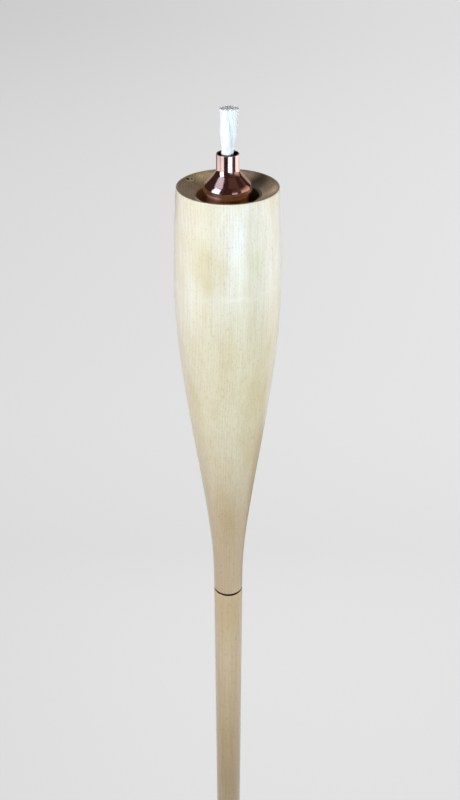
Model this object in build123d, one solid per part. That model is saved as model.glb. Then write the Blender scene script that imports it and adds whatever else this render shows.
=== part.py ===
from build123d import *
import math
import os

# Patio torch on a pole, in millimetres, +Z up.
# The origin is on the pole's axis at the ground line, so what stands in the ground is below it.

# Pole: a turned rod with a straight foot and a point, and a broken edge at the joint.
POLE_ABOVE_GROUND = 864
POLE_TOP_RADIUS = 13.5
FOOT_RADIUS = 11.5
FOOT_ABOVE_GROUND = 20
FOOT_IN_GROUND = 200
POINT_LENGTH = 60
POINT_END_RADIUS = 2.5
JOINT_EDGE = 0.4

# Joint between pole and head: a 3/8 in hanger bolt, a brass insert and a leather washer.
BOLT_RADIUS = 4.76
BOLT_DEPTH_IN_POLE = 48
BOLT_POINT_LENGTH = 8
BOLT_CHAMFER = 1
BOLT_SHORT_OF_INSERT = 1.6
THREAD_CLEARANCE = 0.1
INSERT_RADIUS = 7.95
INSERT_LENGTH = 25.4
INSERT_CHAMFER = 1
POCKET_ROOM = 3
WASHER_THICKNESS = 2.4
WASHER_INSET = 0.4
WASHER_CLEARANCE = 0.35

# Head outline: radius at its rim, belly, flank, waist and foot, and their depths below the rim.
HEAD_LENGTH = 398
RIM_RADIUS = 39.3
RIM_SLOPE = 0.062
BELLY_RADIUS = 42.5
BELLY_DEPTH = 94
FLANK_RADIUS = 32.5
FLANK_DEPTH = 205.5
WAIST_RADIUS = 16.6
WAIST_DEPTH = 328
HEAD_FOOT_RADIUS = 13.4

# Head top: a narrow land, a shallow dish, a finger well and the canister's bore.
RIM_LAND = 2
RIM_ROUND = 0.7
DISH_DEPTH = 6.5
DISH_SAG = 1.2
WELL_RADIUS = 23.8
WELL_DEPTH = 20
WELL_EDGE = 0.6
BORE_CLEARANCE = 0.45

# Copper: tube and fitting sizes of 1-1/4 in and 1/2 in plumbing.
TUBE_RADIUS = 17.465
TUBE_WALL = 1.07
TUBE_LENGTH = 150
SOLDER_GAP = 0.08
FITTING_WALL = 1.1
SOCKET_DEPTH = 24.6
CAP_ROUND = 1.5
SHOULDER_RADIUS = 7.6
FLARE_ANGLE = 45
COVE_RADIUS = 6.7
FLARE_WALL = 2
NECK_TUBE_RADIUS = 7.94
NECK_WALL = 0.65
NECK_LENGTH = 10.8
NECK_SOCKET_DEPTH = 12.7
NECK_ROUND = 0.2
NECK_ABOVE_RIM = 25.2
BUSHING_DEPTH = 6

# Wick: gripped narrow in the bushing, swelling above the neck and frayed wide at its cut end.
WICK_RADIUS = 5.2
WICK_CLEARANCE = 0.3
WICK_ABOVE_NECK = 33.3
WICK_SWELL_START = 1.5
WICK_SWELL_RADIUS = 6
WICK_SWELL_HEIGHT = 16
WICK_FRAY_RADIUS = 7.3
WICK_CROWN = 2
WICK_TAIL_GAP = 10

# Radii that follow from the fits.
socket_radius = TUBE_RADIUS + SOLDER_GAP
fitting_radius = socket_radius + FITTING_WALL
bore_radius = fitting_radius + BORE_CLEARANCE
neck_socket_radius = NECK_TUBE_RADIUS + SOLDER_GAP
neck_radius = neck_socket_radius + NECK_WALL

# Flare between skirt and neck: a rounded shoulder, a straight cone and a cove.
flare_turn = math.radians(FLARE_ANGLE)
flare_rounds = SHOULDER_RADIUS + COVE_RADIUS
cone_width = fitting_radius - neck_radius - flare_rounds * (1 - math.cos(flare_turn))
flare_height = flare_rounds * math.sin(flare_turn) + cone_width / math.tan(flare_turn)

# Levels, from the ground up.
pole_tip = -FOOT_IN_GROUND - POINT_LENGTH
pole_top = POLE_ABOVE_GROUND
head_foot = pole_top + WASHER_THICKNESS
insert_top = head_foot + INSERT_LENGTH
rim = head_foot + HEAD_LENGTH
well_floor = rim - WELL_DEPTH
neck_top = rim + NECK_ABOVE_RIM
neck_stop = neck_top - NECK_SOCKET_DEPTH
flare_top = neck_top - NECK_LENGTH
flare_bottom = flare_top - flare_height
bell_bottom = flare_bottom - SOCKET_DEPTH
tube_bottom = flare_bottom - TUBE_LENGTH
bore_floor = tube_bottom - FITTING_WALL


def turned(*edges):
    """Solid turned about the vertical axis from a closed outline of (radius, height) edges."""
    return revolve(Plane.XZ * make_face(edges), Axis.Z)


def ring(outer, inner, bottom, top):
    """Plain ring between two radii and two heights."""
    return turned(Polyline((inner, bottom), (outer, bottom), (outer, top), (inner, top), close=True))


def pole():
    hole_bottom = pole_top - BOLT_DEPTH_IN_POLE
    return turned(
        Polyline(
            (0, pole_tip),
            (POINT_END_RADIUS, pole_tip),
            (FOOT_RADIUS, -FOOT_IN_GROUND),
            (FOOT_RADIUS, FOOT_ABOVE_GROUND),
            (POLE_TOP_RADIUS, pole_top - JOINT_EDGE),
            (POLE_TOP_RADIUS - JOINT_EDGE, pole_top),
            (BOLT_RADIUS, pole_top),
            (BOLT_RADIUS, hole_bottom + BOLT_POINT_LENGTH),
            (0, hole_bottom),
            close=True,
        )
    )


def hanger_bolt():
    point = pole_top - BOLT_DEPTH_IN_POLE
    end = insert_top - BOLT_SHORT_OF_INSERT
    return turned(
        Polyline(
            (0, point),
            (BOLT_RADIUS, point + BOLT_POINT_LENGTH),
            (BOLT_RADIUS, end - BOLT_CHAMFER),
            (BOLT_RADIUS - BOLT_CHAMFER, end),
            (0, end),
            close=True,
        )
    )


def threaded_insert():
    insert = ring(INSERT_RADIUS, BOLT_RADIUS + THREAD_CLEARANCE, head_foot, insert_top)
    lead_in = insert.edges().group_by(Axis.Z)[0].sort_by(SortBy.RADIUS)[0]
    return chamfer(lead_in, INSERT_CHAMFER)


def joint_washer():
    return ring(POLE_TOP_RADIUS - WASHER_INSET, BOLT_RADIUS + WASHER_CLEARANCE, pole_top, head_foot)


def torch_head():
    side_start = (RIM_RADIUS, rim)
    side_end = (HEAD_FOOT_RADIUS, head_foot + JOINT_EDGE)
    side = Spline(
        side_start,
        (BELLY_RADIUS, rim - BELLY_DEPTH),
        (FLANK_RADIUS, rim - FLANK_DEPTH),
        (WAIST_RADIUS, rim - WAIST_DEPTH),
        side_end,
        tangents=((RIM_SLOPE, -1), (0, -1)),
    )
    foot = Polyline(
        side_end,
        (HEAD_FOOT_RADIUS - JOINT_EDGE, head_foot),
        (INSERT_RADIUS, head_foot),
        (INSERT_RADIUS, insert_top + POCKET_ROOM),
        (0, insert_top + POCKET_ROOM),
        (0, bore_floor),
    )
    dish_start = (WELL_RADIUS + WELL_EDGE, rim - DISH_DEPTH)
    dish_end = (RIM_RADIUS - RIM_LAND, rim)
    well = Polyline(
        (0, bore_floor),
        (bore_radius, bore_floor),
        (bore_radius, well_floor),
        (WELL_RADIUS, well_floor),
        (WELL_RADIUS, rim - DISH_DEPTH - WELL_EDGE),
        dish_start,
    )
    dish = SagittaArc(dish_start, dish_end, -DISH_SAG)
    land = Line(dish_end, side_start)
    head = turned(side, foot, well, dish, land)
    return fillet(head.edges().group_by(Axis.Z)[-1], min(RIM_ROUND, RIM_LAND / 3))


def canister_tube():
    return ring(TUBE_RADIUS, TUBE_RADIUS - TUBE_WALL, tube_bottom, flare_bottom)


def canister_cap():
    cap_top = tube_bottom + SOCKET_DEPTH
    cap = turned(
        Polyline(
            (0, bore_floor),
            (fitting_radius, bore_floor),
            (fitting_radius, cap_top),
            (socket_radius, cap_top),
            (socket_radius, tube_bottom),
            (0, tube_bottom),
            close=True,
        )
    )
    return fillet(cap.edges().group_by(Axis.Z)[0], CAP_ROUND)


def flare(inset):
    """Shoulder, cone and cove between skirt and neck, moved into the wall by inset, from the bottom up."""
    shoulder_centre = (fitting_radius - SHOULDER_RADIUS, flare_bottom)
    cove_centre = (neck_radius + COVE_RADIUS, flare_top)
    shoulder = CenterArc(shoulder_centre, SHOULDER_RADIUS - inset, 0, FLARE_ANGLE)
    cove = CenterArc(cove_centre, COVE_RADIUS + inset, 180 + FLARE_ANGLE, -FLARE_ANGLE)
    cone = Line(shoulder @ 1, cove @ 0)
    return shoulder, cone, cove


def wick_bell():
    outside = Polyline(
        (socket_radius, bell_bottom),
        (fitting_radius, bell_bottom),
        (fitting_radius, flare_bottom),
    )
    neck = Polyline(
        (neck_radius, flare_top),
        (neck_radius, neck_top),
        (neck_radius - FLARE_WALL, neck_top),
        (neck_radius - FLARE_WALL, flare_top),
    )
    socket = Polyline(
        (fitting_radius - FLARE_WALL, flare_bottom),
        (socket_radius, flare_bottom),
        (socket_radius, bell_bottom),
    )
    bell = turned(outside, *flare(0), neck, *flare(FLARE_WALL), socket)
    bell -= Pos(0, 0, neck_top) * Cylinder(neck_socket_radius, 2 * NECK_SOCKET_DEPTH)
    return fillet(bell.edges().group_by(Axis.Z)[-1], min(NECK_ROUND, NECK_WALL / 3))


def wick_bushing():
    return ring(NECK_TUBE_RADIUS, WICK_RADIUS + WICK_CLEARANCE, neck_stop, neck_top - BUSHING_DEPTH)


def wick():
    tail = tube_bottom + WICK_TAIL_GAP
    swell_start = (WICK_RADIUS, neck_top + WICK_SWELL_START)
    top = (0, neck_top + WICK_ABOVE_NECK)
    fray = (WICK_FRAY_RADIUS, neck_top + WICK_ABOVE_NECK - WICK_CROWN)
    stem = Polyline(top, (0, tail), (WICK_RADIUS, tail), swell_start)
    swell = Spline(
        swell_start,
        (WICK_SWELL_RADIUS, neck_top + WICK_SWELL_HEIGHT),
        fray,
        tangents=((0, 1), (WICK_FRAY_RADIUS - WICK_SWELL_RADIUS, WICK_SWELL_HEIGHT / 2)),
    )
    crown = TangentArc(top, fray, tangent=(1, 0))
    return turned(stem, swell, crown)


PIECES = [
    pole,
    hanger_bolt,
    joint_washer,
    threaded_insert,
    torch_head,
    canister_tube,
    canister_cap,
    wick_bell,
    wick_bushing,
    wick,
]

os.makedirs("parts", exist_ok=True)
for piece in PIECES:
    export_step(piece(), f"parts/{piece.__name__}.step")
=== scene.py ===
import math
import random

import bmesh
import bpy
from mathutils import Matrix, Vector


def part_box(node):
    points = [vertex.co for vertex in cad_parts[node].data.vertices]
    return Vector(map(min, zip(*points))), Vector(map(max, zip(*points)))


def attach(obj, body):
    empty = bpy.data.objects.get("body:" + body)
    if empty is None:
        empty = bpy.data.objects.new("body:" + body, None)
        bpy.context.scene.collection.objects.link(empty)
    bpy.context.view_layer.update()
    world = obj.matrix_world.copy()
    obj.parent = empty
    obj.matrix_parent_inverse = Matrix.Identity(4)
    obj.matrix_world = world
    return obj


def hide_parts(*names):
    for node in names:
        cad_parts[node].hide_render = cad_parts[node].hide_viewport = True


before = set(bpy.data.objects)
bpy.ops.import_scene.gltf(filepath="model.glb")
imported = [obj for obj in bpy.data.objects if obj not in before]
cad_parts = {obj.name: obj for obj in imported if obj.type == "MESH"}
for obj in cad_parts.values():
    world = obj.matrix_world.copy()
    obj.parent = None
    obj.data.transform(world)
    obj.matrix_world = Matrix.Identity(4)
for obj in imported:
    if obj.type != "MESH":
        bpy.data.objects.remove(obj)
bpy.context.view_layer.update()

# Pole
# A long maple rod, turned with a slight taper, with a straight foot and a blunt point for the ground.
# It is sanded and oiled, so its long grain shows as fine upright lines under a satin finish.
POLE_PITH = (0.14, 0.05, 0)
POLE_FINENESS = 0.5
POLE_LIGHT_HEIGHT = 0.80
POLE_SHADE_HEIGHT = 0.56
POLE_LIGHT_TINT = (1.14, 1.17, 1.19, 1)
POLE_SHADE_TINT = (0.83, 0.79, 0.71, 1)
RING_WIDTH = 0.0021
RING_DRIFT = 0.016
LATE_WOOD_POWER = 3
MAPLE_PALE = (0.555, 0.43, 0.282, 1)
MAPLE_FIGURE = (0.512, 0.38, 0.214, 1)
MAPLE_CURL = (0.58, 0.455, 0.307, 1)
MAPLE_RING = (0.373, 0.263, 0.127, 1)
MAPLE_FIBRE = (0.404, 0.276, 0.142, 1)
MAPLE_FLECK = (0.32, 0.218, 0.106, 1)
PAINTED_TOP_LIGHT_TINTS = ((1.34, 1.60, 1.84, 1), (1.10, 1.16, 1.36, 1))


def put(tree, kind, sockets=None, **settings):
    """Place a shader node, make its settings, and fill or link its input sockets."""
    made = tree.nodes.new("ShaderNode" + kind)
    for name, value in settings.items():
        setattr(made, name, value)
    for name, value in (sockets or {}).items():
        if isinstance(value, bpy.types.NodeSocket):
            tree.links.new(value, made.inputs[name])
        else:
            made.inputs[name].default_value = value
    return made


def calc(tree, operation, first, second=0.0):
    """Result of a maths node."""
    return put(tree, "Math", {0: first, 1: second}, operation=operation).outputs[0]


def calc_vector(tree, operation, first, second):
    """Result of a vector maths node."""
    return put(tree, "VectorMath", {0: first, 1: second}, operation=operation).outputs[0]


def length_of(tree, vector):
    """Length of a vector."""
    return put(tree, "VectorMath", {0: vector}, operation="LENGTH").outputs["Value"]


def flat_length(tree, vector):
    """Length of a vector as seen from above."""
    return length_of(tree, calc_vector(tree, "MULTIPLY", vector, (1, 1, 0)))


def axes(tree, point):
    """X, Y and Z of a point."""
    return put(tree, "SeparateXYZ", {0: point}).outputs


def object_point(tree):
    """Point of the surface that is shaded, in its object's own coordinates."""
    return put(tree, "TexCoord").outputs["Object"]


def ramp(tree, value, start, end, low=0.0, high=1.0):
    """Smooth step of a value from low at start to high at end."""
    sockets = {"Value": value, "From Min": start, "From Max": end, "To Min": low, "To Max": high}
    return put(tree, "MapRange", sockets, interpolation_type="SMOOTHSTEP").outputs["Result"]


def blend(tree, share, base, top):
    """Base colour with a share of the top colour laid over it."""
    return put(tree, "Mix", {0: share, 6: base, 7: top}, data_type="RGBA").outputs[2]


def tinted(tree, base, tint, share=1.0):
    """Base colour multiplied by a share of a tint."""
    return put(tree, "Mix", {0: share, 6: base, 7: tint}, data_type="RGBA", blend_type="MULTIPLY").outputs[2]


def noise(tree, vector, stretch, detail=2.0):
    """Noise whose grains have about 1 / stretch metres along each axis."""
    placed = put(tree, "Mapping", {"Vector": vector, "Scale": stretch}).outputs["Vector"]
    return put(tree, "TexNoise", {"Vector": placed, "Scale": 1.0, "Detail": detail}).outputs["Fac"]


def finish(name, **constants):
    """New material with its Principled shader, constants set on the shader's own sockets."""
    material = bpy.data.materials.new(name)
    material.use_nodes = True
    shader = material.node_tree.nodes["Principled BSDF"]
    for socket, value in constants.items():
        shader.inputs[socket.replace("_", " ")].default_value = value
    return material, material.node_tree, shader


def cover(tree, shader, colour, roughness=None, relief=None, strength=0.0, depth=0.0):
    """Link a colour, and a roughness and a fine relief where they are given, to a shader."""
    tree.links.new(colour, shader.inputs["Base Color"])
    if roughness is not None:
        tree.links.new(roughness, shader.inputs["Roughness"])
    if relief is not None:
        bump = put(tree, "Bump", {"Height": relief, "Strength": strength, "Distance": depth})
        tree.links.new(bump.outputs["Normal"], shader.inputs["Normal"])


def dress(node, material):
    """Give a solid of the frame its finish."""
    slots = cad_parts[node].data.materials
    slots.clear()
    slots.append(material)


def new_group(name, inputs, outputs):
    """New shader group with named sockets of given kinds, and its two ends."""
    group = bpy.data.node_groups.new(name, "ShaderNodeTree")
    for way, sockets in (("INPUT", inputs), ("OUTPUT", outputs)):
        for socket, kind in sockets.items():
            group.interface.new_socket(socket, in_out=way, socket_type="NodeSocket" + kind)
    return group, group.nodes.new("NodeGroupInput").outputs, group.nodes.new("NodeGroupOutput").inputs


def maple_grain():
    """Shader group of plain maple: growth rings round a far pith, fibres, flecks and soft figure, paled and
    cooled by painted light.
    """
    inputs = {"Vector": "Vector", "Pith": "Vector", "Ring Width": "Float", "Painted Top Light": "Float"}
    outputs = {"Colour": "Color", "Rings": "Float", "Gloss": "Float", "Height": "Float"}
    group, given, result = new_group("maple_grain", inputs, outputs)

    point = given["Vector"]
    drift = calc(group, "MULTIPLY", noise(group, point, (5, 5, 2.2)), RING_DRIFT)
    drift = put(group, "CombineXYZ", {"X": drift, "Y": drift}).outputs[0]
    bent = calc_vector(group, "ADD", point, drift)
    from_pith = flat_length(group, calc_vector(group, "SUBTRACT", bent, given["Pith"]))
    count = calc(group, "DIVIDE", from_pith, given["Ring Width"])
    late = calc(group, "POWER", calc(group, "FRACT", count), LATE_WOOD_POWER)
    year = calc(group, "FLOOR", count)
    growth = put(group, "TexWhiteNoise", {"W": year}, noise_dimensions="1D").outputs["Value"]
    rings = calc(group, "MULTIPLY", late, ramp(group, growth, 0, 1, 0.25, 1))

    fibres = ramp(group, noise(group, point, (1150, 1150, 20), 3), 0.35, 0.7)
    flecks = ramp(group, noise(group, point, (980, 980, 420), 2), 0.58, 0.7)
    pores = ramp(group, noise(group, point, (900, 900, 560), 1), 0.42, 0.6)
    figure = ramp(group, noise(group, point, (52, 52, 11), 2), 0.40, 0.62)
    curl = ramp(group, noise(group, point, (7, 7, 34), 1), 0.4, 0.65)
    dotted = calc(group, "MULTIPLY", rings, ramp(group, pores, 0, 1, 0.35, 1))

    colour = blend(group, figure, MAPLE_PALE, MAPLE_FIGURE)
    for mask, strength, shade in (
        (curl, 0.3, MAPLE_CURL),
        (dotted, 0.48, MAPLE_RING),
        (fibres, 0.3, MAPLE_FIBRE),
        (flecks, 0.34, MAPLE_FLECK),
    ):
        colour = blend(group, calc(group, "MULTIPLY", mask, strength), colour, shade)
    # Painted light: this input pales and cools the colour in two steps, for light falling on the upper wood.
    for step, tint in enumerate(PAINTED_TOP_LIGHT_TINTS):
        colour = tinted(group, colour, tint, calc(group, "SUBTRACT", given["Painted Top Light"], step))
    sunk = calc(group, "ADD", calc(group, "MULTIPLY", fibres, 0.5), flecks)
    group.links.new(colour, result["Colour"])
    group.links.new(rings, result["Rings"])
    group.links.new(ramp(group, fibres, 0, 1, 0.36, 0.5), result["Gloss"])
    group.links.new(calc(group, "SUBTRACT", 1.0, sunk), result["Height"])
    return group


grain = maple_grain()


def maple(name, pith, fineness):
    """Oiled maple, its grain laid out from its own pith."""
    material, tree, shader = finish(name, Coat_Weight=0.9, Coat_Roughness=0.24, IOR=1.5)
    point = object_point(tree)
    laid = put(tree, "VectorMath", {0: point, "Scale": fineness}, operation="SCALE").outputs[0]
    wood = put(tree, "Group", {"Vector": laid, "Pith": pith, "Ring Width": RING_WIDTH}, node_tree=grain)
    cover(tree, shader, wood.outputs["Colour"], wood.outputs["Gloss"],
          relief=wood.outputs["Height"], strength=0.12, depth=0.0003)
    return material, tree, shader, wood, point


pole_maple, tree, shader, wood, point = maple("pole_maple", POLE_PITH, POLE_FINENESS)
# Painted light: the pole is lighter and cooler near the head and darker and warmer lower down, standing in
# for how the light falls on it.
pole_shade = ramp(tree, axes(tree, point)["Z"], POLE_LIGHT_HEIGHT, POLE_SHADE_HEIGHT)
tint = blend(tree, pole_shade, POLE_LIGHT_TINT, POLE_SHADE_TINT)
cover(tree, shader, tinted(tree, wood.outputs["Colour"], tint))
dress("pole", pole_maple)

# Hanger bolt
# A zinc plated steel bolt with a wood screw point, driven into the pole's end.
# Its free half has a 3/8 in machine thread, sixteen turns to the inch, which the head screws on to.
BOLT_CREST = 0.00476
BOLT_ROOT = 0.0040
BOLT_PITCH = 0.0254 / 16
BOLT_POINT = 0.008
SCREW_ROOT = 0.0034
SCREW_PITCH = 0.0032
SCREW_TIP = 0.0002
SHANK_END = 0.005
SHELL_OVERLAP = 0.0003
THREAD_STEPS = 28
ZINC_GREY = (0.50, 0.51, 0.53, 1)
ZINC_WHITE = (0.66, 0.66, 0.65, 1)


def threaded(bm, bottom, top, crest, root, pitch):
    """Solid thread between two heights, wound upward and cut square at both ends."""
    turns = math.ceil((top - bottom) / pitch) + 2
    outline = [bm.verts.new((radius, 0, bottom - pitch + share * pitch))
               for radius, share in ((root, 0), (root, 0.12), (crest, 0.45), (crest, 0.67), (root, 1))]
    edges = [bm.edges.new(pair) for pair in zip(outline, outline[1:])]
    bmesh.ops.spin(bm, geom=outline + edges, axis=(0, 0, 1), cent=(0, 0, 0), angle=turns * math.tau,
                   dvec=(0, 0, pitch / THREAD_STEPS), steps=turns * THREAD_STEPS)
    bmesh.ops.remove_doubles(bm, verts=bm.verts, dist=1e-6)
    for height, way in ((bottom, -1), (top, 1)):
        cut = bmesh.ops.bisect_plane(bm, geom=bm.verts[:] + bm.edges[:] + bm.faces[:], dist=1e-7,
                                     plane_co=(0, 0, height), plane_no=(0, 0, way), clear_outer=True)
        mouth = [part for part in cut["geom_cut"] if isinstance(part, bmesh.types.BMEdge)]
        bmesh.ops.holes_fill(bm, edges=mouth)


def piece_from(name, bm, material, body, stands_for):
    """Close a bmesh into a smooth-shaded piece that rides on a body in place of a solid."""
    bmesh.ops.recalc_face_normals(bm, faces=bm.faces)
    mesh = bpy.data.meshes.new(name)
    bm.to_mesh(mesh)
    bm.free()
    mesh.materials.append(material)
    mesh.shade_smooth()
    made = bpy.data.objects.new(name, mesh)
    bpy.context.collection.objects.link(made)
    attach(made, body)
    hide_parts(stands_for)


zinc, tree, shader = finish("zinc_steel", Metallic=1)
spangle = noise(tree, object_point(tree), (900, 900, 900), 3)
cover(tree, shader, blend(tree, spangle, ZINC_GREY, ZINC_WHITE), ramp(tree, spangle, 0.3, 0.7, 0.24, 0.42))

bolt_low, bolt_high = (corner[2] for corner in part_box("hanger_bolt"))
shank_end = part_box("pole")[1][2] - SHANK_END
point_length = BOLT_POINT + SHELL_OVERLAP
point_middle = bolt_low + point_length / 2
bolt = bmesh.new()
threaded(bolt, shank_end, bolt_high, BOLT_CREST, BOLT_ROOT, BOLT_PITCH)
screw = bmesh.new()
threaded(screw, bolt_low + BOLT_POINT, shank_end + SHELL_OVERLAP, BOLT_CREST, SCREW_ROOT, SCREW_PITCH)
bmesh.ops.create_cone(screw, segments=THREAD_STEPS, radius1=SCREW_TIP, radius2=SCREW_ROOT, depth=point_length,
                      cap_ends=True, matrix=Matrix.Translation((0, 0, point_middle)))
screw_mesh = bpy.data.meshes.new("screw")
screw.to_mesh(screw_mesh)
screw.free()
bolt.from_mesh(screw_mesh)
piece_from("threaded_bolt", bolt, zinc, "pole", "hanger_bolt")

# Joint washer
# A washer punched from dark waxed leather, pinched between the pole and the head.
# Its edge is what shows as the dark line round the joint.
PEBBLE_SCALE = 1400.0
LEATHER_DARK = (0.008, 0.005, 0.004, 1)
LEATHER_WAXED = (0.02, 0.012, 0.008, 1)

leather, tree, shader = finish("dark_leather", Specular_IOR_Level=0.15)
point = object_point(tree)
pebble = put(tree, "TexVoronoi", {"Vector": point, "Scale": PEBBLE_SCALE}).outputs["Distance"]
wax = noise(tree, point, (160, 160, 160), 3)
cover(tree, shader, blend(tree, wax, LEATHER_DARK, LEATHER_WAXED), ramp(tree, wax, 0.3, 0.7, 0.5, 0.75),
      relief=pebble, strength=0.4, depth=0.0002)
dress("joint_washer", leather)

# Threaded insert
# A turned brass insert, pressed into the foot of the head, that runs on the bolt's thread.
# Its mouth is flush with the foot and opens with a small lead-in.
BRASS_DULL = (0.62, 0.42, 0.14, 1)
BRASS_BRIGHT = (0.78, 0.58, 0.25, 1)

brass, tree, shader = finish("turned_brass", Metallic=1)
point = object_point(tree)
lathe = noise(tree, point, (60, 60, 5200), 2)
polish = noise(tree, point, (260, 260, 260), 3)
cover(tree, shader, blend(tree, polish, BRASS_DULL, BRASS_BRIGHT), ramp(tree, polish, 0.3, 0.7, 0.2, 0.36),
      relief=lathe, strength=0.2, depth=0.0001)
dress("threaded_insert", brass)

# Torch head
# One block of maple, turned to a slim baluster, dished at the top and bored for the canister.
# The dish and the well are end grain, which takes the oil dark, with one small knot in the dish.
HEAD_PITH = (0.16, 0.02, 0)
HEAD_FINENESS = 1.0
LAND_RADIUS = 0.0390
LAND_EDGE = 0.0002
DISH_DEPTH = 0.0085
WELL_WALL_RADIUS = 0.026
BORE_MARGIN = 0.001
PAINTED_TOP_LIGHT_DEPTHS = ((0.34, 0.18), (0.125, 0.06))
PAINTED_TOP_LIGHT_WANDER = 0.09
STAINS = (
    (-0.011, -0.040, 0.052, (0.75, 0.75, 0.5), (0.92, 0.885, 0.77, 1)),
    (0.022, -0.036, 0.048, (1.5, 1.5, 0.8), (0.94, 0.97, 0.87, 1)),
)
STAIN_REACH = 0.020
STAIN_CORE = 0.010
STAIN_WANDER = 0.010
RUBBED_SHEEN_DEPTH = 0.0755
RUBBED_SHEEN_REACH = 0.0055
RUBBED_SHEEN_STRENGTH = 0.36
RUBBED_SHEEN_COLOUR = (0.86, 0.87, 0.81, 1)
END_DARK = (0.245, 0.170, 0.094, 1)
END_LIGHT = (0.385, 0.287, 0.165, 1)
END_RING = (0.13, 0.088, 0.047, 1)
END_RING_STRENGTH = 0.6
END_PORE = (0.14, 0.10, 0.056, 1)
END_ROUGHNESS = 0.62
DISH_EDGE_SHADE = 0.0372
DISH_EDGE_SHADE_WIDTH = 0.0015
DISH_EDGE_SHADE_COLOUR = (0.10, 0.065, 0.035, 1)
KNOT_PLACE = (-0.0292, 0.0196, 0)
KNOT_TURN = math.radians(45)
KNOT_FLATNESS = (1, 2.6, 0)
KNOT_BARK = 0.0062
KNOT_BARK_COLOUR = (0.15, 0.105, 0.05, 1)
KNOT_RING = 0.0052
KNOT_RING_EDGE = 0.0012
KNOT_SWIRL = 0.0019
KNOT_DARK = (0.33, 0.285, 0.14, 1)
KNOT_LIGHT = (0.52, 0.465, 0.30, 1)
KNOT_RAGGED = 0.0022
EYE_FLATNESS = (1, 1.7, 0)
EYE_EDGE = 0.0007
KNOT_EYES = (
    ((-0.0309, 0.0185, 0), 0.0019, (0.004, 0.003, 0.001, 1)),
    ((-0.0280, 0.0212, 0), 0.0016, (0.05, 0.042, 0.012, 1)),
)
DISH_PAINTED_LIGHT_AND_SHADOW = (
    ((-0.017, 0.030, 0), (1, 1, 0), 0, 0.014, (1.65, 1.7, 1.8, 1)),
    ((0.0310, -0.005, 0), (1, 1, 0), 0, 0.013, (1.8, 1.85, 1.9, 1)),
    ((0.0205, 0.0180, 0), (0.58, 1, 0), math.radians(44), 0.0125, (0.13, 0.10, 0.065, 1)),
)
DISH_PAINTED_LIGHT_CORE = 0.25
BORE_BROWN = (0.27, 0.13, 0.045, 1)
BORE_PAINTED_SHADE = (0.035, 0.02, 0.01, 1)
BORE_PAINTED_LIGHT = (0.92, 0.74, 0.60, 1)
BORE_AMBER = (0.40, 0.22, 0.065, 1)


def near(tree, point, place, stretch, turn=0.0):
    """Distance of a point from a place, stretched along axes that are turned about the vertical."""
    offset = calc_vector(tree, "SUBTRACT", point, place)
    turned = put(tree, "VectorRotate", {"Vector": offset, "Angle": -turn}, rotation_type="Z_AXIS").outputs[0]
    return length_of(tree, calc_vector(tree, "MULTIPLY", turned, stretch))


def mix(tree, share, base, top):
    """Base value with a share of the top value in its place."""
    return put(tree, "Mix", {0: share, 2: base, 3: top}).outputs[0]


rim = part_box("torch_head")[1][2]
bore_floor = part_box("canister_cap")[0][2] - BORE_MARGIN
head_maple, tree, shader, wood, point = maple("head_maple", HEAD_PITH, HEAD_FINENESS)
across, along, height = axes(tree, point)
radius = flat_length(tree, point)

# Painted light makes the side paler and cooler towards the rim. There are two soft stains, and a faint pale
# band that is rubbed wear with a painted sheen.
wander = calc(tree, "MULTIPLY", noise(tree, point, (24, 24, 7)), PAINTED_TOP_LIGHT_WANDER)
uneven = calc(tree, "ADD", height, calc(tree, "SUBTRACT", wander, PAINTED_TOP_LIGHT_WANDER / 2))
painted_top_light = [ramp(tree, uneven, rim - start, rim - end) for start, end in PAINTED_TOP_LIGHT_DEPTHS]
tree.links.new(calc(tree, "ADD", *painted_top_light), wood.inputs["Painted Top Light"])
side_colour = wood.outputs["Colour"]
blotch = calc(tree, "MULTIPLY", noise(tree, point, (55, 55, 30)), STAIN_WANDER)
for stain_x, stain_y, depth, stretch, tint in STAINS:
    stain = calc(tree, "ADD", near(tree, point, (stain_x, stain_y, rim - depth), stretch), blotch)
    side_colour = tinted(tree, side_colour, tint, ramp(tree, stain, STAIN_REACH, STAIN_CORE))
# The faint pale band is partly rubbed wear and partly a painted sheen.
off_band = calc(tree, "ABSOLUTE", calc(tree, "SUBTRACT", height, rim - RUBBED_SHEEN_DEPTH))
rubbed = ramp(tree, noise(tree, point, (48, 48, 90)), 0.4, 0.62)
rubbed_sheen = calc(tree, "MULTIPLY", ramp(tree, off_band, RUBBED_SHEEN_REACH, 0, 0, RUBBED_SHEEN_STRENGTH), rubbed)
side_colour = blend(tree, rubbed_sheen, side_colour, RUBBED_SHEEN_COLOUR)

# The end grain has dark rings and open pores.
oil = ramp(tree, noise(tree, point, (60, 60, 60), 3), 0.35, 0.65)
pores = ramp(tree, noise(tree, point, (1250, 1250, 700)), 0.46, 0.7, 0, 0.65)
rings = calc(tree, "MULTIPLY", wood.outputs["Rings"], END_RING_STRENGTH)
end_colour = blend(tree, oil, END_DARK, END_LIGHT)
end_colour = blend(tree, rings, end_colour, END_RING)
end_colour = blend(tree, pores, end_colour, END_PORE)

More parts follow.
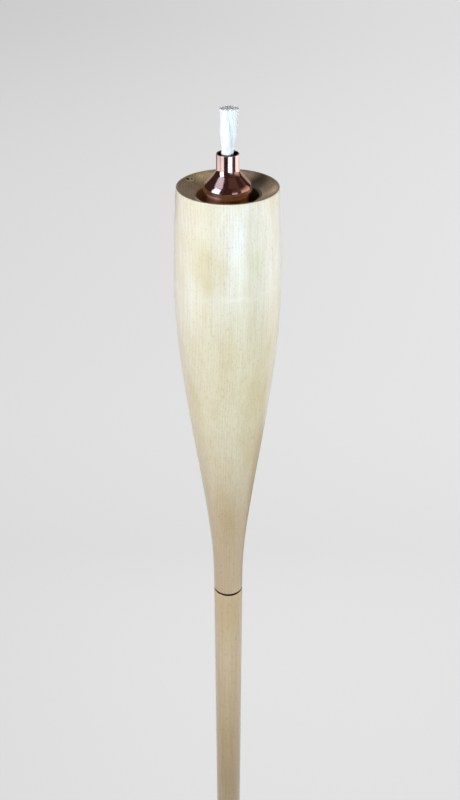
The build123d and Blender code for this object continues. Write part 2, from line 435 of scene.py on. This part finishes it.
# The knot is a flat swirl in a dark ring of bark, with two eyes.
speckle = noise(tree, point, (420, 420, 420))
ragged = calc(tree, "MULTIPLY", calc(tree, "SUBTRACT", speckle, 0.5), KNOT_RAGGED)
knot = calc(tree, "ADD", near(tree, point, KNOT_PLACE, KNOT_FLATNESS, KNOT_TURN), ragged)
swirl = calc(tree, "SINE", calc(tree, "MULTIPLY", knot, math.tau / KNOT_SWIRL))
knot_colour = blend(tree, ramp(tree, swirl, -1, 1), KNOT_DARK, KNOT_LIGHT)
end_colour = blend(tree, ramp(tree, knot, KNOT_BARK, KNOT_RING, 0, 0.7), end_colour, KNOT_BARK_COLOUR)
end_colour = blend(tree, ramp(tree, knot, KNOT_RING, KNOT_RING - KNOT_RING_EDGE), end_colour, knot_colour)
for place, size, colour in KNOT_EYES:
    eye = calc(tree, "ADD", near(tree, point, place, EYE_FLATNESS, KNOT_TURN), ragged)
    end_colour = blend(tree, ramp(tree, eye, size, size - EYE_EDGE), end_colour, colour)

# A thin line at the dish's edge is painted shade, a long dark patch to the back right is a painted shadow of
# the bell, and two places are painted lighter where light falls.
dish_edge_shade = ramp(tree, radius, DISH_EDGE_SHADE - DISH_EDGE_SHADE_WIDTH, DISH_EDGE_SHADE, 0, 0.45)
end_colour = blend(tree, dish_edge_shade, end_colour, DISH_EDGE_SHADE_COLOUR)
for place, stretch, turn, reach, tint in DISH_PAINTED_LIGHT_AND_SHADOW:
    share = ramp(tree, near(tree, point, place, stretch, turn), reach, reach * DISH_PAINTED_LIGHT_CORE)
    end_colour = tinted(tree, end_colour, tint, share)

# The well and the bore are painted lighter at the front left, where light falls, and painted into shade at
# the back right.
in_bore = calc(tree, "MULTIPLY", calc(tree, "LESS_THAN", radius, WELL_WALL_RADIUS),
               calc(tree, "GREATER_THAN", height, bore_floor))
bore_back = blend(tree, ramp(tree, across, -0.004, 0.018), BORE_BROWN, BORE_PAINTED_SHADE)
bore_front = blend(tree, ramp(tree, across, -0.014, -0.006), BORE_PAINTED_LIGHT, BORE_AMBER)
bore_light_and_shade = blend(tree, ramp(tree, along, -0.004, -0.013), bore_back, bore_front)
end_colour = blend(tree, in_bore, end_colour, bore_light_and_shade)

in_dish = calc(tree, "MULTIPLY", ramp(tree, radius, LAND_RADIUS, LAND_RADIUS - LAND_EDGE),
               calc(tree, "GREATER_THAN", height, rim - DISH_DEPTH))
end_grain = calc(tree, "MAXIMUM", in_dish, in_bore)
cover(tree, shader, blend(tree, end_grain, side_colour, end_colour),
      mix(tree, end_grain, wood.outputs["Gloss"], END_ROUGHNESS))
dress("torch_head", head_maple)

# Canister
# A length of copper tube with a copper cap soldered on its lower end holds the lamp oil.
# It stands in the head's bore and lifts out by the bell.
COPPER_BRIGHT = (0.92, 0.60, 0.50, 1)
COPPER_TARNISHED = (0.46, 0.24, 0.17, 1)
TANK_TARNISH = 0.55
STAIN_ROUGHNESS = 0.05
WAVE_DEPTH = 25


def copper_wear():
    """Shader group of polished copper: slow tarnish, handling haze and fine scratches round the axis."""
    inputs = {"Vector": "Vector", "Tarnish": "Float"}
    outputs = {"Colour": "Color", "Roughness": "Float", "Height": "Float"}
    group, given, result = new_group("copper_wear", inputs, outputs)
    point = given["Vector"]
    stain = ramp(group, noise(group, point, (95, 95, 70), 4), 0.42, 0.75)
    haze = ramp(group, noise(group, point, (420, 420, 160), 3), 0.35, 0.75, 0.07, 0.15)
    scratches = noise(group, point, (70, 70, 4200), 3)
    waves = calc(group, "MULTIPLY", noise(group, point, (75, 75, 110), 1), WAVE_DEPTH)
    share = calc(group, "MULTIPLY", stain, given["Tarnish"])
    rough = calc(group, "ADD", haze, calc(group, "MULTIPLY", stain, STAIN_ROUGHNESS))
    group.links.new(blend(group, share, COPPER_BRIGHT, COPPER_TARNISHED), result["Colour"])
    group.links.new(rough, result["Roughness"])
    group.links.new(calc(group, "ADD", scratches, waves), result["Height"])
    return group


wear = copper_wear()


def copper(name, tarnish):
    """Polished copper with a given share of tarnish."""
    material, tree, shader = finish(name, Metallic=1)
    point = object_point(tree)
    metal = put(tree, "Group", {"Vector": point, "Tarnish": tarnish}, node_tree=wear)
    cover(tree, shader, metal.outputs["Colour"], metal.outputs["Roughness"],
          relief=metal.outputs["Height"], strength=0.03, depth=0.0001)
    return material, tree, shader, metal, point


tank_copper = copper("tank_copper", TANK_TARNISH)[0]
dress("canister_tube", tank_copper)
dress("canister_cap", tank_copper)

# Bell and bushing
# The bell is a polished copper reducing fitting, pushed on the canister's tube, with a shoulder and a neck.
# A short copper bushing pressed into the neck grips the wick, and both are darker inside the neck, more so
# deeper down.
BELL_TARNISH = 0.2
NECK_INSIDE = 0.0083
NECK_DARK_FADE = 0.002
NECK_DARK_BLACK = (0.02, 0.012, 0.01, 1)
NECK_DARK_BROWN = (0.11, 0.06, 0.045, 1)
NECK_DARK_ROUGHNESS = 0.5

neck_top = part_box("wick_bell")[1][2]
bell_copper, tree, shader, metal, point = copper("bell_copper", BELL_TARNISH)
inside = calc(tree, "LESS_THAN", flat_length(tree, point), NECK_INSIDE)
deep = ramp(tree, axes(tree, point)["Z"], neck_top, neck_top - NECK_DARK_FADE, 0.5, 1)
neck_dark = calc(tree, "MULTIPLY", inside, deep)
neck_dark_colour = blend(tree, noise(tree, point, (500, 500, 300), 3), NECK_DARK_BLACK, NECK_DARK_BROWN)
cover(tree, shader, blend(tree, neck_dark, metal.outputs["Colour"], neck_dark_colour),
      mix(tree, neck_dark, metal.outputs["Roughness"], NECK_DARK_ROUGHNESS))
dress("wick_bell", bell_copper)
dress("wick_bushing", bell_copper)

# Wick
# A strip of white fibreglass rolled into a soft rod, so that its free edge runs down it as a crease.
# It leans a little, is cut at a slight slant and frayed there, and its tail hangs in the oil.
WICK_SECTION = 84
WICK_RINGS = 110
CUT_RINGS = (0.86, 0.68, 0.48, 0.28, 0.12)
CUT_BELOW_TOP = 0.0002
CUT_SLANT = 0.13
CUT_CROWN = 0.0011
CUT_ROUGHNESS = (-0.0005, 0.0006)
GRIP_RADIUS = 0.0046
SWELL = 0.0018
SWELL_HEIGHT = 0.0155
SPREAD = 0.0011
SPREAD_START = 0.022
SPREAD_HEIGHT = 0.0115
SEAM_TURN = math.radians(-104)
SEAM_TWIST = math.radians(55) / 0.034
STEP_DEPTH = 0.0008
STEP_TURN = 0.9
GROOVE_DEPTH = 0.0009
GROOVE_TURN = 0.16
YARNS = 21
YARN_HEIGHT = 0.00011
YARN_SINK = 0.00005
LUMP_HEIGHT = 0.00012
LUMP_WAVES = (410, 730)
WICK_LEAN = 0.03
FRAY_STRANDS = 150
FRAY_LENGTH = (0.0011, 0.0019)
FRAY_RADIUS = (0.00018, 0.0003)
FRAY_TIP = 0.00006
FRAY_MIDDLE = 0.05
FRAY_INSET = 0.97
FRAY_SINK = 0.0008
FRAY_SPLAY = 0.5
FRAY_STRAY = 0.3
NECK_DARK_ABOVE = 0.0004
GLASS_WHITE = (0.90, 0.915, 0.915, 1)
GLASS_COOL = (0.82, 0.86, 0.88, 1)
GLASS_PAINTED_SHADE = (0.77, 0.88, 0.93, 1)
GLASS_CREASE_SHADE = (0.50, 0.58, 0.64, 1)
GLASS_OILED = (0.45, 0.41, 0.32, 1)
GLASS_NECK_DARK = (0.03, 0.024, 0.022, 1)
GLASS_CUT = (0.74, 0.78, 0.83, 1)
GLASS_CUT_STRENGTH = 0.4
STRAND_END = (0.17, 0.18, 0.20, 1)

wick_low, wick_high = (corner[2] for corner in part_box("wick"))
cut_height = wick_high - CUT_BELOW_TOP

white, tree, shader = finish("fibreglass", Roughness=0.85, Sheen_Weight=0.25, Sheen_Roughness=0.5)
point = object_point(tree)
across, along, height = axes(tree, point)
above = calc(tree, "MAXIMUM", calc(tree, "SUBTRACT", height, neck_top), 0)
upright = calc(tree, "SUBTRACT", across, calc(tree, "MULTIPLY", above, WICK_LEAN))
twist = calc(tree, "MULTIPLY", calc(tree, "SUBTRACT", cut_height, height), SEAM_TWIST)
seam = calc(tree, "ADD", twist, SEAM_TURN)
from_seam = calc(tree, "SUBTRACT", calc(tree, "ARCTAN2", along, upright), seam)
past = calc(tree, "FLOORED_MODULO", from_seam, math.tau)
soft = noise(tree, point, (330, 330, 210), 3)
cloth = blend(tree, ramp(tree, soft, 0.35, 0.7), GLASS_WHITE, GLASS_COOL)
# Painted shade: past its free edge the roll is painted a cooler blue-grey, and the crease is painted darker.
cloth = blend(tree, ramp(tree, past, 2.2, 0.2, 0, 0.65), cloth, GLASS_PAINTED_SHADE)
crease_shade = calc(tree, "MULTIPLY", ramp(tree, past, 0.55, 0.05, 0, 0.5),
              ramp(tree, height, cut_height - 0.003, cut_height - 0.012, 0.3, 1))
cloth = blend(tree, crease_shade, cloth, GLASS_CREASE_SHADE)
cloth = blend(tree, ramp(tree, height, neck_top - 0.002, neck_top - 0.006), cloth, GLASS_OILED)
# The wick is darker in a thin band where it enters the neck.
neck_dark = calc(tree, "MULTIPLY", ramp(tree, height, neck_top + NECK_DARK_ABOVE, neck_top - NECK_DARK_ABOVE),
            ramp(tree, height, neck_top - 0.007, neck_top - 0.004, 0, 0.94))
cloth = blend(tree, neck_dark, cloth, GLASS_NECK_DARK)
level = calc(tree, "ADD", height, calc(tree, "MULTIPLY", along, CUT_SLANT))
at_cut = ramp(tree, level, cut_height - 0.0012, cut_height - 0.0003)
cloth = blend(tree, calc(tree, "MULTIPLY", at_cut, GLASS_CUT_STRENGTH), cloth, GLASS_CUT)
ends = ramp(tree, noise(tree, point, (950, 950, 950), 1), 0.49, 0.66, 0, 0.85)
cloth = blend(tree, calc(tree, "MULTIPLY", ends, at_cut), cloth, STRAND_END)
cover(tree, shader, cloth, relief=noise(tree, point, (2600, 2600, 130), 3), strength=0.5, depth=0.0003)


def wick_radius(height):
    """Radius of the wick at a height, gripped in the neck, swelling above it and opened at the cut."""
    above = height - neck_top
    share = max(0.0, min(1.0, above / SWELL_HEIGHT))
    swell = SWELL * share * share * (3 - 2 * share)
    spread = SPREAD * max(0.0, (above - SPREAD_START) / SPREAD_HEIGHT) ** 2
    return GRIP_RADIUS + swell + spread


def wick_point(turn, height):
    """Point on the rolled strip: a step at the free edge, fading round the rod, and shallow yarn ridges."""
    seam = SEAM_TURN + (cut_height - height) * SEAM_TWIST
    past = (turn - seam) % math.tau
    step = STEP_DEPTH * math.exp(-past / STEP_TURN)
    groove = GROOVE_DEPTH * math.exp(-(min(past, math.tau - past) / GROOVE_TURN) ** 2)
    yarn = YARN_HEIGHT * abs(math.sin(past * YARNS / 2)) - YARN_SINK
    lump = LUMP_HEIGHT * math.sin(3 * turn + height * LUMP_WAVES[0]) * math.sin(height * LUMP_WAVES[1])
    radius = wick_radius(height) - (step + groove) + yarn + lump
    rise = max(0.0, (height - neck_top) / (cut_height - neck_top)) ** 2
    slant = -CUT_SLANT * math.sin(turn) * radius * rise
    return Vector((radius * math.cos(turn), radius * math.sin(turn), height + slant))


def cut_point(turn, share):
    """Point on the slanted, crowned cut, at a share of the way from its middle to its edge."""
    edge = wick_point(turn, cut_height)
    rise = (edge.z - cut_height) * share + CUT_CROWN * (1 - share * share)
    return Vector((edge.x * share, edge.y * share, cut_height + rise))


def drawn_out(bm, edges):
    """Extrude a loop of edges and return the new edges, and the new vertices with their turns."""
    made = bmesh.ops.extrude_edge_only(bm, edges=edges)["geom"]
    loop = [part for part in made if isinstance(part, bmesh.types.BMVert)]
    turns = [math.atan2(vert.co.y, vert.co.x) for vert in loop]
    return [part for part in made if isinstance(part, bmesh.types.BMEdge)], zip(loop, turns)


random.seed(7)
wick = bmesh.new()
foot = bmesh.ops.create_circle(wick, segments=WICK_SECTION, radius=GRIP_RADIUS)["verts"]
for place, vert in enumerate(foot):
    vert.co = wick_point(math.tau * place / WICK_SECTION, wick_low)
edges = wick.edges[:]
for ring in range(1, WICK_RINGS + 1):
    edges, loop = drawn_out(wick, edges)
    for vert, turn in loop:
        vert.co = wick_point(turn, wick_low + (cut_height - wick_low) * ring / WICK_RINGS)
for share in CUT_RINGS:
    edges, loop = drawn_out(wick, edges)
    for vert, turn in loop:
        vert.co = cut_point(turn, share)
        vert.co.z += random.uniform(*CUT_ROUGHNESS)
bmesh.ops.holes_fill(wick, edges=[edge for edge in wick.edges if edge.is_boundary])
for _ in range(FRAY_STRANDS):
    turn = random.uniform(0, math.tau)
    out = math.sqrt(random.uniform(FRAY_MIDDLE, 1.0))
    root = cut_point(turn, out) * Vector((FRAY_INSET, FRAY_INSET, 1)) - Vector((0, 0, FRAY_SINK))
    length = random.uniform(*FRAY_LENGTH)
    splay = out * FRAY_SPLAY
    lean = Vector((math.cos(turn) * splay, math.sin(turn) * splay, 1))
    lean += Vector((random.uniform(-FRAY_STRAY, FRAY_STRAY), random.uniform(-FRAY_STRAY, FRAY_STRAY), 0))
    place = Matrix.Translation(root) @ lean.to_track_quat("Z", "Y").to_matrix().to_4x4()
    thickness = random.uniform(*FRAY_RADIUS)
    bmesh.ops.create_cone(wick, segments=3, radius1=thickness, radius2=FRAY_TIP, depth=length, cap_ends=True,
                          matrix=place @ Matrix.Translation((0, 0, length / 2)))
for vert in wick.verts:
    vert.co.x += WICK_LEAN * max(0.0, vert.co.z - neck_top)
piece_from("rolled_wick", wick, white, "wick", "wick")

# Studio
# A pale paper floor, eight soft lamps round the torch, and pale and dark cards that the copper mirrors.
# The camera looks down at the head from the front.
FLOOR_REACH = 14.0
FLOOR_GAP = 0.001
PAPER_MATT = (0.13, 0.13, 0.135, 1)
PAPER_WHITE = (1.0, 1.0, 1.0, 1)
PAPER_LEVELS = (
    ("Y", 0.3, 2.2, 0.63, 0.735),
    ("Y", 3, 9, 0, -0.075),
    ("X", -3, 3, -0.07, 0.07),
)
PAPER_END = (9.5, 13.5)
PAPER_END_LEVEL = 0.70
WORLD_SEEN = (0.70, 0.70, 0.71, 1)
WORLD_FILL = (0.05, 0.045, 0.04, 1)


def staged(name, place, width, height, material):
    """Flat rectangle of the studio, placed by a matrix."""
    bm = bmesh.new()
    bmesh.ops.create_grid(bm, x_segments=1, y_segments=1, size=0.5,
                          matrix=place @ Matrix.Diagonal((width, height, 1, 1)))
    mesh = bpy.data.meshes.new(name)
    bm.to_mesh(mesh)
    bm.free()
    mesh.materials.append(material)
    made = bpy.data.objects.new(name, mesh)
    bpy.context.collection.objects.link(made)
    return made


def bare(name):
    """New material without nodes, and its tree."""
    material = bpy.data.materials.new(name)
    material.use_nodes = True
    material.node_tree.nodes.clear()
    return material, material.node_tree


def seen_rays(tree):
    """1 for rays that show a surface to the camera or in a mirror, 0 for rays that light other surfaces."""
    path = put(tree, "LightPath").outputs
    straight = calc(tree, "MAXIMUM", path["Is Camera Ray"], path["Is Glossy Ray"])
    return calc(tree, "MAXIMUM", straight, path["Is Transmission Ray"])


paper, tree = bare("paper")
point = object_point(tree)
place = axes(tree, point)
level = 0.0
for axis, start, end, low, high in PAPER_LEVELS:
    level = calc(tree, "ADD", ramp(tree, place[axis], start, end, low, high), level)
level = mix(tree, ramp(tree, length_of(tree, point), *PAPER_END), level, PAPER_END_LEVEL)
shown = calc(tree, "MULTIPLY", seen_rays(tree), level)
glow = put(tree, "Emission", {"Color": PAPER_WHITE, "Strength": shown})
matt = put(tree, "BsdfDiffuse", {"Color": PAPER_MATT})
top = put(tree, "AddShader", {0: glow.outputs[0], 1: matt.outputs[0]})
under = put(tree, "BsdfTransparent")
from_below = put(tree, "NewGeometry").outputs["Backfacing"]
sides = put(tree, "MixShader", {0: from_below, 1: top.outputs[0], 2: under.outputs[0]})
put(tree, "OutputMaterial", {"Surface": sides.outputs[0]})
floor_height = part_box("pole")[0][2] - FLOOR_GAP
staged("floor", Matrix.Translation((0, 0, floor_height)), 2 * FLOOR_REACH, 2 * FLOOR_REACH, paper)

world = bpy.data.worlds.new("studio")
bpy.context.scene.world = world
world.use_nodes = True
tree = world.node_tree
backdrop = blend(tree, seen_rays(tree), WORLD_FILL, WORLD_SEEN)
tree.links.new(backdrop, tree.nodes["Background"].inputs["Color"])


def around(azimuth, distance, height):
    """Place on a circle round the torch; azimuth in degrees from the camera's side, to its right."""
    turn = math.radians(azimuth)
    return Vector((distance * math.sin(turn), -distance * math.cos(turn), height))


def facing(place, target):
    """Matrix at a place, turned so that its -Z axis points at a target."""
    return Matrix.Translation(place) @ (target - place).to_track_quat("-Z", "Y").to_matrix().to_4x4()


head_middle = rim - 0.15
pole_low = 0.02
for name, azimuth, distance, height, aim, size, spread, power, colour in (
    ("lamp_left", -57, 1.45, 1.7, head_middle, 0.8, 180, 16.4, (1.0, 0.95, 0.96)),
    ("lamp_front", -5, 1.5, 1.45, head_middle, 0.8, 180, 14.6, (0.90, 0.98, 1.0)),
    ("lamp_right", 25, 1.3, 1.75, head_middle, 0.35, 180, 4.0, (0.72, 0.90, 1.0)),
    ("lamp_side", 80, 1.25, 1.18, head_middle, 0.7, 180, 9.5, (1.0, 0.98, 0.95)),
    ("lamp_back_left", -132, 1.15, 1.9, head_middle, 0.7, 180, 5.8, (1.0, 0.90, 0.88)),
    ("lamp_back_right", 122, 1.15, 1.9, head_middle, 0.7, 180, 3.0, (1.0, 0.60, 0.40)),
    ("lamp_behind", 180, 1.6, 0.8, head_middle, 0.5, 180, 21.0, (0.92, 0.97, 1.0)),
    ("lamp_low", -12, 1.3, pole_low, pole_low, 0.3, 36, 0.8, (0.97, 0.98, 1.0)),
):
    lamp = bpy.data.lights.new(name, "AREA")
    lamp.size = size
    lamp.spread = math.radians(spread)
    lamp.energy = power
    lamp.color = colour
    holder = bpy.data.objects.new(name, lamp)
    holder.matrix_world = facing(around(azimuth, distance, height), Vector((0, 0, aim)))
    holder.visible_camera = False
    holder.visible_glossy = False
    bpy.context.collection.objects.link(holder)

DARK = (0.040, 0.021, 0.018, 1)
DIM = (0.085, 0.050, 0.044, 1)
LILAC = (0.66, 0.77, 1.0, 1)
WARM = (0.68, 0.52, 0.47, 1)
SILVER = (0.95, 1.12, 1.27, 1)
PALE_LEFT = (0.88, 1.0, 1.14, 1)
PALE_RIGHT = (1.25, 1.35, 1.5, 1)
WHITE = (1.4, 2.0, 3.0, 1)
ICE = (1.2, 1.9, 3.6, 1)
GLEAM = (3.5, 5.5, 9.0, 1)
MIST = (0.55, 0.68, 0.85, 1)
BEIGE = (0.40, 0.36, 0.31, 1)
EARTH = (0.25, 0.20, 0.14, 1)


def card(name, place, width, height, colour, top_colour, low=0.0, high=1.0):
    """Card that shows only in mirror reflections, fading from one colour to another between two heights."""
    shade, tree = bare(name)
    up = axes(tree, object_point(tree))["Z"]
    glow = put(tree, "Emission", {"Color": blend(tree, ramp(tree, up, low, high), colour, top_colour)})
    put(tree, "OutputMaterial", {"Surface": glow.outputs[0]})
    made = staged(name, place, width, height, shade)
    made.visible_camera = False
    made.visible_diffuse = False
    made.visible_shadow = False


for name, start, end, distance, low, high, colour, top_colour in (
    ("card_front", -43, 25, 1.9, -0.2, 3.6, DARK, DARK),
    ("card_side", 25, 88, 1.9, -0.2, 3.6, DIM, DIM),
    ("card_white_right", 4, 45, 1.5, 0.58, 1.25, ICE, ICE),
    ("card_gleam_right", 17, 33, 1.45, 0.54, 0.82, GLEAM, GLEAM),
    ("card_fade_right", 20, 46, 1.5, 1.25, 2.0, MIST, DIM),
    ("card_silver_left", -72, -38, 1.6, 0.5, 1.12, SILVER, SILVER),
    ("card_white_left", -77, -39, 1.6, 1.12, 2.75, WHITE, WHITE),
    ("card_lilac_left", -84, -39, 1.6, 2.75, 3.4, WHITE, LILAC),
    ("card_left", -102, -80, 1.7, 0.95, 2.9, DARK, DARK),
    ("card_back_left", -144, -102, 1.9, 0.95, 3.6, DARK, DARK),
    ("card_back_right", 88, 144, 1.9, 1.2, 3.6, DARK, DARK),
    ("card_pale_left", -128, -82, 1.75, 0.1, 0.95, PALE_LEFT, PALE_LEFT),
    ("card_pale_right", 82, 134, 1.75, 0.1, 1.2, PALE_RIGHT, PALE_RIGHT),
    ("card_edge_left", -178, -142, 1.95, 0.9, 3.6, BEIGE, BEIGE),
    ("card_edge_right", 142, 178, 1.95, 0.9, 3.6, BEIGE, BEIGE),
    ("card_low_left", -176, -128, 1.2, 0.80, 0.98, EARTH, EARTH),
    ("card_low_right", 104, 170, 1.2, -0.25, 0.12, EARTH, EARTH),
    ("card_warm_right", 62, 128, 1.7, 1.2, 2.8, WARM, DARK),
):
    middle = (low + high) / 2
    place = facing(around((start + end) / 2, distance, middle), Vector((0, 0, middle)))
    width = 2 * distance * math.tan(math.radians(end - start) / 2)
    card(name, place, width, high - low, colour, top_colour, low, high)
for name, x, y, z, turn, width, depth, colour in (
    ("card_over", 0, 0, 3.7, 0, 8, 8, DARK),
    ("card_over_left", -1.32, -0.21, 3.42, -36, 1.55, 0.8, LILAC),
    ("card_over_right", 0.88, -0.49, 3.42, 25, 1.6, 0.8, DIM),
):
    place = Matrix.Translation((x, y, z)) @ Matrix.Rotation(math.radians(turn), 4, "Z")
    card(name, place, width, depth, colour, colour)

CAMERA_LENS = 45.81
CAMERA_SENSOR = 36
CAMERA_ACROSS = 0.0017
CAMERA_BACK = 0.735
CAMERA_ABOVE_RIM = 0.2675
CAMERA_DOWN = 31.87
camera_data = bpy.data.cameras.new("camera")
camera_data.lens = CAMERA_LENS
camera_data.sensor_width = CAMERA_SENSOR
camera = bpy.data.objects.new("camera", camera_data)
camera.location = (CAMERA_ACROSS, -CAMERA_BACK, rim + CAMERA_ABOVE_RIM)
camera.rotation_euler = (math.radians(90 - CAMERA_DOWN), 0, 0)
bpy.context.collection.objects.link(camera)
bpy.context.scene.camera = camera
bpy.context.scene.view_settings.view_transform = "Standard"
